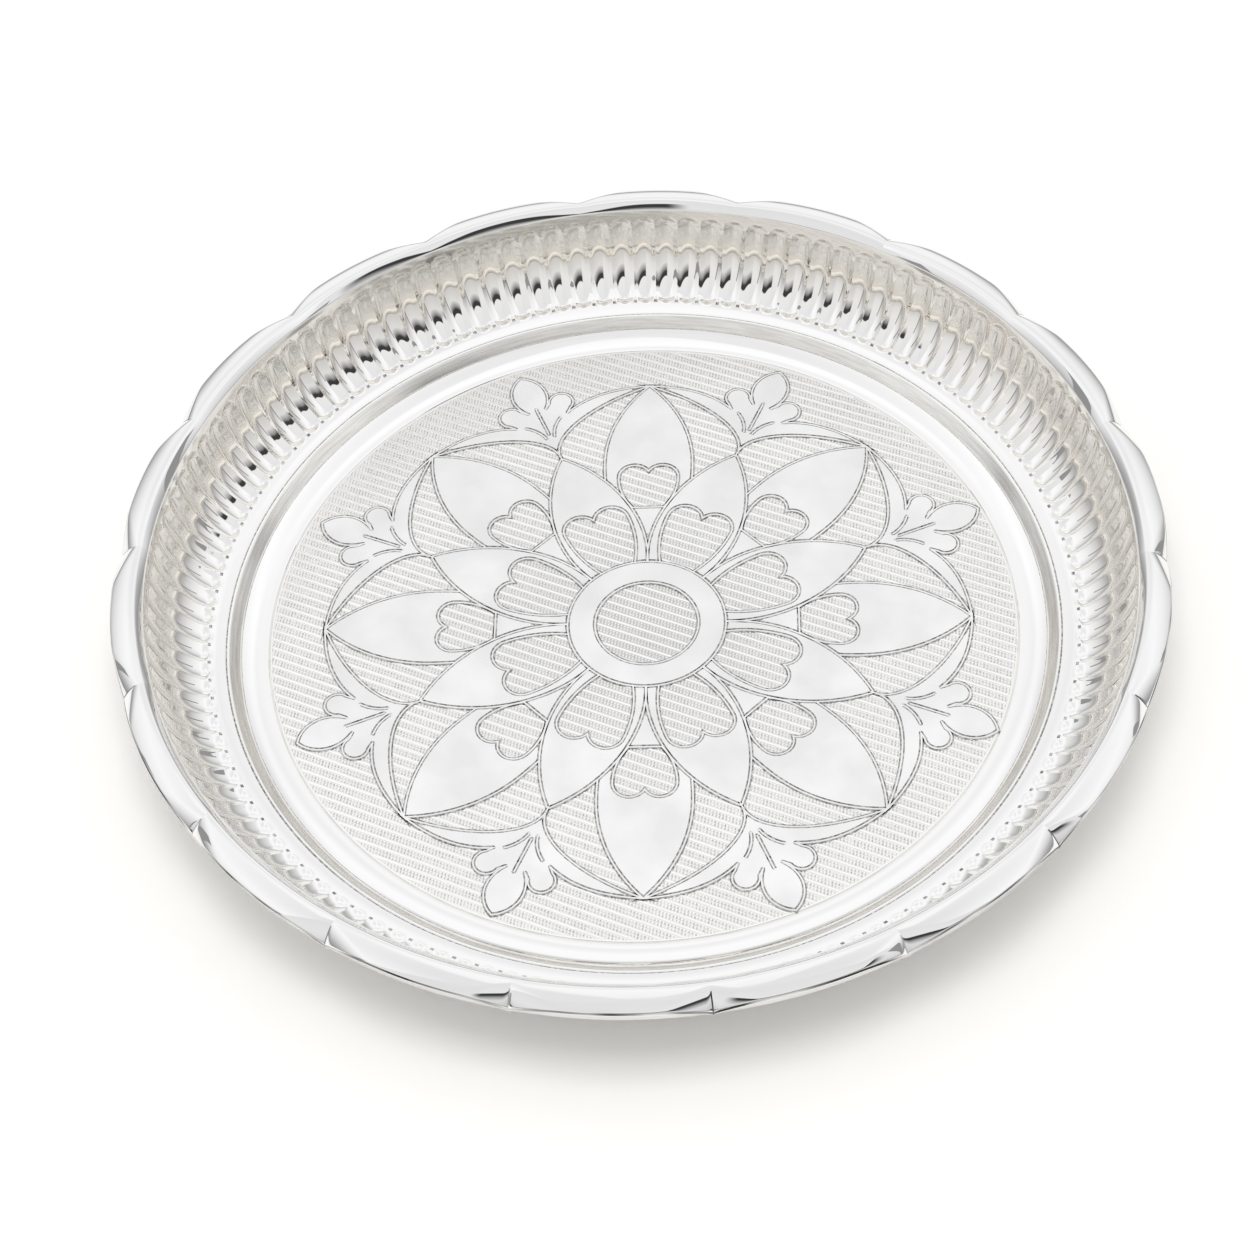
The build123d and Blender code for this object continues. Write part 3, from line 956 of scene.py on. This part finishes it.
class THALI_OT_rosette(bpy.types.Operator):
    """Raises the polished areas: ring, inner and outer petals, wedges and sprigs"""

    bl_idname = "thali.rosette"
    bl_label = "Rosette"

    def execute(self, context):
        rosette = context.scene.thali_rosette
        ground = context.scene.thali_floor.sheet
        gap = rosette.channel / 2
        satin = satin_silver(context.scene.thali_finish)
        half_pitch = pi / rosette.petal_count
        ring = [circle(radius, 128) for radius in (rosette.ring_radius - gap, rosette.centre_radius + gap)]
        veins = [stroke(path, rosette.channel) for path in vein_paths(rosette)]
        areas = (
            (ring, None),
            ([inner_petal_outline(rosette, gap)], half_pitch),
            ([outer_petal_outline(rosette, gap)], 0),
            ([wedge_outline(rosette, gap)], 0),
            ([sprig_outline(rosette, gap)] + veins, half_pitch),
        )
        for name, (outlines, turn) in zip(ROSETTE_PIECES, areas):
            piece = plate(name, outlines, ground - rosette.sunk, ground + rosette.relief)
            if turn is not None:
                set_round(piece, turn, rosette.petal_count)
            smooth(30)
            stamp(piece, rosette, satin)
        return {"FINISHED"}


def outline_paths(rosette):
    """The lines of the engraved outlines, each open or closed: by inner petal, by outer petal and in the middle."""
    inner, outer = PetalShape(rosette, "inner", 0), PetalShape(rosette, "outer", 0)
    heights = evenly(outer.tip, outer.base, 120)
    meeting = [y for y in heights if outer.at(y) < neighbour_edge(rosette, y, 0)][-1]
    chord_y = rosette.outer_heart_foot
    chord_x = neighbour_edge(rosette, chord_y, 0)
    on_inner = [across(inner.side(inner.base, 40)), over(HeartShape(rosette, "inner", 0).side()),
                *vein_paths(rosette)]
    on_inner = [(path, False) for path in on_inner] + [(sprig_outline(rosette, 0), True)]
    on_outer = [across(outer.side(meeting, 30)), over(HeartShape(rosette, "outer", 0).side()),
                [(-chord_x, chord_y), (chord_x, chord_y)]]
    on_outer = [(path, False) for path in on_outer]
    on_middle = [(circle(radius, 180), True) for radius in (rosette.ring_radius, rosette.centre_radius)]
    return on_inner, on_outer, on_middle


def across(side):
    """A whole outline over a tip, from the right side given from the tip down."""
    return flipped(side) + side[1:]


def over(side):
    """A whole outline over a cleft, from the right side given from the foot up."""
    return side + flipped(side[:-1])


class THALI_OT_outlines(bpy.types.Operator):
    """Sweeps the engraved outlines: a narrow dark channel with a bright bead along its middle"""

    bl_idname = "thali.outlines"
    bl_label = "Outlines"

    def execute(self, context):
        rosette = context.scene.thali_rosette
        floor = context.scene.thali_floor
        half, bead, height = rosette.channel / 2, rosette.bead, rosette.bead_height
        right = [(bead * x, height * z) for x, z in BEAD_SECTION] + [(half, 0), (half, -rosette.sunk)]
        profile = line_curve("outline_profile", [(across(right), True)])
        half_pitch = pi / rosette.petal_count
        channel = floor.sheet + floor.hatch_height + SLACK / 2
        names = ("inner_outlines", "outer_outlines", "ring_outlines")
        for name, paths, turn in zip(names, outline_paths(rosette), (half_pitch, 0, None)):
            piece = line_curve(name, paths)
            piece.data.bevel_mode = "OBJECT"
            piece.data.bevel_object = profile
            piece.data.use_fill_caps = True
            edit_curve(piece)
            lift(channel)
            if turn is None:
                weld()
            else:
                set_round(piece, turn, rosette.petal_count)
            smooth(50)
            stamp(piece, rosette, bpy.data.materials["satin_silver"], bpy.data.materials["tarnished_silver"])
            for face in piece.data.polygons:
                face.material_index = int(face.center.z < channel + SLACK / 2)
        bpy.data.objects.remove(profile)
        return {"FINISHED"}


class WallShape:
    """The wall's section: a quarter ellipse inside and a deeper one outside."""

    def __init__(self, wall):
        self.top, self.bottom = WALL_HIGH.z, WALL_LOW.z
        self.cove_top = self.bottom + wall.step_rise
        self.cove = wall.cove_radius
        self.run = wall.wall_radius - wall.cove_radius
        self.sheet = wall.sheet
        self.path = [self.inside(z) for z in evenly(wall.flute_low, wall.flute_high, 200)]
        self.steps = [0.0]
        for (r0, z0), (r1, z1) in zip(self.path, self.path[1:]):
            self.steps.append(self.steps[-1] + hypot(r1 - r0, z1 - z0))

    def inside(self, z):
        """Point of the wall's inside at a height."""
        drop = (self.top - z) / (self.top - self.cove_top)
        return (self.cove + self.run * sqrt(max(0.0, 1 - drop * drop)), z)

    def outside(self, z):
        """Point of the wall's outside at a height."""
        drop = (self.top - z) / (self.top - self.bottom)
        return (self.cove + (self.run + self.sheet) * sqrt(max(0.0, 1 - drop * drop)), z)

    def facing(self, z):
        """Outward and downward parts of the direction that faces away from the bowl at a height."""
        drop = (self.top - z) / (self.top - self.cove_top)
        slope = self.run * drop / ((self.top - self.cove_top) * sqrt(max(0.01, 1 - drop * drop)))
        return 1 / hypot(1, slope), slope / hypot(1, slope)

    def travel(self, z):
        """Way along the inside from the flutes' foot up to a height."""
        low, high = self.path[0][1], self.path[-1][1]
        last = len(self.steps) - 1
        return self.steps[min(last, max(0, round(last * (z - low) / (high - low))))]

    def stations(self):
        """Points along a flute, closer together towards both ends."""
        even = 0.45
        ways = [self.steps[-1] * (even * s + (1 - even) / 2 * (1 - cos(pi * s))) for s in evenly(0, 1, 30)]
        return [min(zip(self.steps, self.path), key=lambda step: abs(step[0] - way))[1] for way in ways]


def round_corner(before, corner, after, radius):
    """Points that round the corner of a section between two straight runs."""
    corner = Vector(corner)
    start, end = (corner + (Vector(side) - corner).normalized() * radius for side in (before, after))
    return quadratic(start, corner, end, 4)


class THALI_OT_wall_band(bpy.types.Operator):
    """Spins one flute of the wall, scoops it and repeats it round the thali"""

    bl_idname = "thali.wall_band"
    bl_label = "Wall band"

    def execute(self, context):
        wall = context.scene.thali_wall
        shape = WallShape(wall)
        foot = (wall.foot_radius, shape.bottom)
        corner = (wall.cove_radius, shape.cove_top)
        rise = wall.flute_low - shape.cove_top
        cove = [shape.inside(shape.cove_top + rise * share**2) for share in evenly(0, 1, 6)[1:-1]]
        bevel = round_corner(foot, corner, cove[1], wall.step_round)
        groove = [(corner[0] + r * MM, corner[1] + z * MM) for r, z in STEP_GROOVE]
        hollow = [point for point in cove if point[0] > groove[-1][0] + SLACK]
        band = [shape.inside(z) for z in evenly(wall.flute_high, shape.top, 3)[1:]]
        lip_under = shape.top - wall.sheet
        ledge = wall.wall_radius + wall.ledge
        lip = [(ledge, shape.top), (WALL_HIGH.x, shape.top), (WALL_HIGH.x, lip_under)]
        outside = [shape.outside(z) for z in evenly(lip_under, shape.bottom, 10)]
        section = [foot] + bevel + groove + hollow + shape.stations() + band + lip + outside
        step, columns = 2 * pi / wall.flute_count, 12
        piece = draw_segment("wall_skin", section, columns, step)
        for vertex in piece.data.vertices:
            self.scoop(vertex, wall, shape, step)
        mode("EDIT")
        repeat_round(wall.flute_count)
        smooth(40)
        settle(piece, "polished_silver", (pressed_silver(context.scene.thali_finish),
                                          bpy.data.materials["tarnished_silver"],
                                          bpy.data.materials["worn_and_shaded_silver"]), "wall_band")
        tarnished, worn_and_shaded = 1, 2
        near = 0.6 * MM
        for face in piece.data.polygons:
            x, y, z = face.center
            radius = hypot(x, y)
            on_ledge = z > shape.top - SLACK / 2 and radius < ledge
            on_step = z < bevel[2][1] and radius < corner[0]
            in_groove = groove[1][0] - SLACK < radius < groove[2][0] + SLACK and abs(z - corner[1]) < near / 2
            at_foot = wall.flute_low < z < wall.flute_low + near and radius < shape.inside(z)[0] + near
            mid_flute = abs(atan2(y, x) / step % 1 - 0.5) < wall.spot_share
            # The spot at the foot of each ridge between flutes is painted shade
            if in_groove or at_foot and mid_flute and shape.travel(z) < wall.spot_length:
                face.material_index = tarnished
            # The ledge under the rim and the step's face are greyed partly with painted shade
            elif on_ledge or on_step:
                face.material_index = worn_and_shaded
        return {"FINISHED"}

    def scoop(self, vertex, wall, shape, step):
        """Presses a vertex of the wall's inside outwards by the depth of the flute there."""
        x, y, z = vertex.co
        radius = hypot(x, y)
        if radius > shape.inside(z)[0] + SLACK or not wall.flute_low < z < wall.flute_high:
            return
        share = min(1.0, abs(atan2(y, x)) / (step / 2))
        way = shape.travel(z)
        foot = min(1.0, way / wall.flute_foot_round)
        head = min(1.0, (shape.steps[-1] - way) / wall.flute_top_round)
        reach = sqrt(foot * (2 - foot)) * sqrt(head * (2 - head))
        ridge = 1 - wall.ridge_share
        past = share - ridge
        raised = share**2 if past < 0 else ridge**2 + 2 * ridge * (past - past**2 / (2 * wall.ridge_share))
        hollow = max(0.0, reach**2 - raised) * wall.flute_depth
        out, down = shape.facing(z)
        vertex.co += Vector((x / radius * out, y / radius * out, -down)) * hollow


def held(value):
    """A value held between 0 and 1."""
    return min(1.0, max(0.0, value))


class THALI_OT_scalloped_rim(bpy.types.Operator):
    """Spins one lobe of the rolled rim, presses the dents at its ends and repeats it round the thali"""

    bl_idname = "thali.scalloped_rim"
    bl_label = "Scalloped rim"

    def execute(self, context):
        rim = context.scene.thali_rim
        finish = context.scene.thali_finish
        lip, hem = WALL_HIGH.z, RIM_LOW.z
        inner = context.scene.thali_wall.wall_radius + rim.setback
        section = [(inner, lip)]
        tilts = (rim.foot_tilt, rim.face_low, rim.face_high, pi / 2, pi - acos(rim.top_run / rim.top), pi + rim.lean)
        radii = (rim.shoulder_foot, rim.shoulder_face, rim.shoulder, rim.top, rim.edge_round)
        counts = (3, 4, 8, 14, 8)
        for radius, low, high, steps in zip(radii, tilts, tilts[1:], counts):
            section += bend(section[-1], radius, low, high, steps)
        ridge, edge = section[sum(counts[:3])], section[-1]
        # The painted dark line of shade runs round the edge from its second step to its sixth
        line_radius, line_height = section[-7][0], section[-3][1]
        drop = edge[1] - hem - rim.curl
        draw_in = drop * tan(rim.lean)
        curl = (edge[0] - draw_in - rim.curl, hem + rim.curl)
        section += [(edge[0] - draw_in * share, edge[1] - drop * share) for share in (0.25, 0.5, 0.75)]
        section += arc(curl, rim.curl, 0, -90, 5)
        section += [(rim.hem_end, hem), (rim.hem_end, hem + rim.sheet)]
        section += [(curl[0], hem + rim.sheet), (curl[0] + rim.curl - rim.sheet, curl[1])]
        # Back along the underside, which doesn't show
        section += [(edge[0] - 1.6 * rim.sheet, edge[1] - 0.3 * MM), (ridge[0], ridge[1] - rim.sheet)]
        section += [(inner + 1.9 * rim.sheet, lip + 0.9 * rim.sheet), (inner + rim.sheet, lip)]
        step, columns = 2 * pi / rim.lobe_count, 52
        piece = draw_segment("rim_skin", section, columns, step)
        # Faces along the edge's dark line and in the crease take the painted shade
        for face in piece.data.polygons:
            x, y, z = face.center
            in_line = hypot(x, y) > line_radius and z > line_height
            in_crease = abs(atan2(y, x)) > step / 2 - step / columns and hypot(x, y) > rim.crease_start
            face.material_index = int(in_line or in_crease and z > edge[1] - rim.edge_round)
        for vertex in piece.data.vertices:
            self.press(vertex, rim, step, inner, edge, hem)
        piece.data.transform(Matrix.Rotation(pi / 2 + rim.lobe_turn, 4, "Z"))
        mode("EDIT")
        repeat_round(rim.lobe_count)
        smooth(24)
        settle(piece, "polished_silver", (rolled_silver(finish), painted_shade_silver(finish)), "scalloped_rim")
        return {"FINISHED"}

    def press(self, vertex, rim, step, inner, edge, hem):
        """Arches a lobe, draws its ends in and presses the two facets and the crease of the dent between lobes."""
        x, y, z = vertex.co
        radius = hypot(x, y)
        even = atan2(y, x) / (step / 2)
        # The columns crowd towards the lobe's ends, where the crease is; it starts a little way down the dent
        crowding, crease_apex, skirt_share = 1.5, 0.25, 0.4
        share = 1 - max(0.0, 1 - abs(even)) ** crowding
        turn = share * step / 2 * (1 if even > 0 else -1)
        aside = (1 - share) * step / 2 * edge[0]
        out = held((radius - rim.dent_apex) / (edge[0] - rim.dent_apex))
        tall = held((z - hem) / (edge[1] - hem))
        sink = rim.scallop_sink * share**2 * held((radius - inner) / (rim.dent_apex - inner))
        sink += max(0.0, out - aside / rim.dent_spread) ** rim.dent_hollow * rim.dent_depth
        sink += max(0.0, (out - crease_apex) / (1 - crease_apex) - aside / rim.crease_span) * rim.crease_depth
        pull = rim.dent_inset * max(0.0, 1 - aside / rim.dent_spread) + rim.scallop_inset * share**2
        radius -= pull * out * (skirt_share + (1 - skirt_share) * tall)
        vertex.co = (radius * cos(turn), radius * sin(turn), z - sink * tall)


class THALI_OT_edge_wire(bpy.types.Operator):
    """Gives the stiffening wire in the hem its drawn steel finish"""

    bl_idname = "thali.edge_wire"
    bl_label = "Edge wire"

    def execute(self, context):
        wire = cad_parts["edge_wire"]
        wire.data.materials.clear()
        wire.data.materials.append(drawn_steel_wire(context.scene.thali_finish))
        return {"FINISHED"}


class THALI_OT_stage(bpy.types.Operator):
    """Sets the pale floor, the studio light and the camera"""

    bl_idname = "thali.stage"
    bl_label = "Stage"

    def execute(self, context):
        stage = context.scene.thali_stage
        self.pale_floor(stage, context.scene.thali_finish)
        self.tent(context, stage)
        self.lamp(stage)
        self.camera(context, stage)
        context.scene.view_settings.view_transform = "Standard"
        return {"FINISHED"}

    def pale_floor(self, stage, finish):
        """A plain sheet of pale paper under the thali."""
        begin()
        bpy.ops.mesh.primitive_plane_add(size=stage.floor_size, location=(0, 0, 0))
        sheet = bpy.context.object
        sheet.name = "stage_floor"
        paper = bpy.data.materials.new("white_paper")
        paper.use_nodes = True
        sockets = paper.node_tree.nodes["Principled BSDF"].inputs
        for name, value in (("Base Color", finish.paper), ("Roughness", 0.9), ("Specular IOR Level", 0.0)):
            put(paper.node_tree, sockets[name], value)
        sheet.data.materials.append(paper)

    def camera(self, context, stage):
        """A long lens that looks down on the thali."""
        lens = bpy.data.cameras.new("thali_camera")
        lens.sensor_width = 36
        lens.lens = stage.lens
        lens.clip_start = 0.01
        camera = add_object("thali_camera", lens)
        middle = Matrix.Translation((0, 0, context.scene.thali_floor.sheet))
        turns = ((stage.turn, "Z"), (pi / 2 - stage.elevation, "X"), (stage.roll, "Z"))
        turn, tilt, roll = (Matrix.Rotation(amount, 4, axis) for amount, axis in turns)
        away = Matrix.Translation((-stage.aim[0], -stage.aim[1], stage.distance))
        camera.matrix_world = middle @ turn @ tilt @ roll @ away
        context.scene.camera = camera

    def tent(self, context, stage):
        """A tent of bright panels: white behind and above, darker gaps low at the sides and towards the viewer."""
        world = bpy.data.worlds.new("studio_tent")
        world.use_nodes = True
        context.scene.world = world
        tree = world.node_tree
        aim = add_node(tree, "ShaderNodeTexCoord").outputs["Generated"]
        turned = add_node(tree, "ShaderNodeVectorRotate", {"Vector": aim, "Angle": -stage.turn},
                          rotation_type="Z_AXIS").outputs["Vector"]
        axes = parts(tree, turned)
        share = worked(tree, "DIVIDE", worked(tree, "ARCSINE", axes["Z"]), pi / 2)
        heading = worked(tree, "ARCTAN2", axes["X"], axes["Y"])
        from_gap = worked(tree, "WRAP", worked(tree, "ADD", heading, pi - stage.gap_heading), pi, -pi)
        whole_tent = self.panel(tree, share, BACK_PANEL)
        for panel, bearing, edge in ((SIDE_PANEL, heading, SIDE_EDGE), (FRONT_PANEL, heading, FRONT_EDGE),
                                     (GAP_PANEL, from_gap, GAP_EDGE)):
            level = self.panel(tree, share, panel)
            whole_tent = blend(tree, self.beyond(tree, bearing, *edge), whole_tent, level)
        low_enough = worked(tree, "COMPARE", share, SEAM_HIGH / 180, SEAM_HIGH / 180)
        for middle in SEAM_HEADINGS:
            beside = worked(tree, "COMPARE", heading, radians(middle), radians(SEAM_HALF_WIDTH))
            dark = worked(tree, "MULTIPLY", beside, low_enough)
            whole_tent = blend(tree, dark, whole_tent, (SEAM_LEVEL, SEAM_LEVEL, SEAM_LEVEL, 1))
        cloth = blend(tree, 1.0, whole_tent, stage.tent_tint, blend_type="MULTIPLY")
        put(tree, tree.nodes["Background"].inputs["Color"], cloth)
        put(tree, tree.nodes["Background"].inputs["Strength"], stage.tent_strength)

    def lamp(self, stage):
        """A lamp over the thali that gives the soft shadow, hidden from reflections."""
        lamp = bpy.data.lights.new("overhead_lamp", "AREA")
        lamp.size = stage.lamp_size
        lamp.energy = stage.lamp_power
        bulb = add_object("overhead_lamp", lamp)
        place = Vector((0, -stage.lamp_forward, stage.lamp_height))
        bulb.matrix_world = Matrix.Translation(place) @ place.to_track_quat("Z", "Y").to_matrix().to_4x4()
        bulb.visible_glossy = False

    def beyond(self, tree, heading, start, end):
        """A share that rises from 0 to 1 as a heading, to either side, passes two angles in degrees."""
        return ranged(tree, worked(tree, "ABSOLUTE", heading), radians(start), radians(end),
                      interpolation_type="SMOOTHSTEP")

    def panel(self, tree, share, steps):
        """Brightness of the tent by elevation, given as pairs of degrees and level."""
        ramp = add_node(tree, "ShaderNodeValToRGB", {"Fac": share})
        while len(ramp.color_ramp.elements) < len(steps):
            ramp.color_ramp.elements.new(0.5)
        for stop, (degrees_up, level) in zip(ramp.color_ramp.elements, steps):
            stop.position = degrees_up / 90
            stop.color = (level, level, level, 1)
        return ramp.outputs["Color"]


class THALI_PT_sidebar(bpy.types.Panel):
    """Lists the steps that build the thali"""

    bl_label = "Puja thali"
    bl_idname = "THALI_PT_sidebar"
    bl_space_type = "VIEW_3D"
    bl_region_type = "UI"
    bl_category = "Thali"

    def draw(self, context):
        for step in STEPS:
            self.layout.operator(step.bl_idname)


ROSETTE_PIECES = ("rosette_ring", "inner_petals", "outer_petals", "petal_wedges", "sprigs")
GROUPS = {
    "thali_floor": ThaliFloor,
    "thali_rosette": ThaliRosette,
    "thali_wall": ThaliWall,
    "thali_rim": ThaliRim,
    "thali_finish": ThaliFinish,
    "thali_stage": ThaliStage,
}
STEPS = (
    THALI_OT_floor_panel,
    THALI_OT_rosette,
    THALI_OT_outlines,
    THALI_OT_hatching,
    THALI_OT_wall_band,
    THALI_OT_scalloped_rim,
    THALI_OT_edge_wire,
    THALI_OT_stage,
)


def register():
    for group in (*GROUPS.values(), *STEPS, THALI_PT_sidebar):
        bpy.utils.register_class(group)
    for name, group in GROUPS.items():
        setattr(bpy.types.Scene, name, PointerProperty(type=group))


def unregister():
    for name in GROUPS:
        delattr(bpy.types.Scene, name)
    for group in reversed((*GROUPS.values(), *STEPS, THALI_PT_sidebar)):
        bpy.utils.unregister_class(group)


def main():
    register()
    bpy.ops.thali.floor_panel()
    bpy.ops.thali.rosette()
    bpy.ops.thali.outlines()
    bpy.ops.thali.hatching()
    bpy.ops.thali.wall_band()
    bpy.ops.thali.scalloped_rim()
    bpy.ops.thali.edge_wire()
    bpy.ops.thali.stage()


if __name__ == "__main__":
    main()
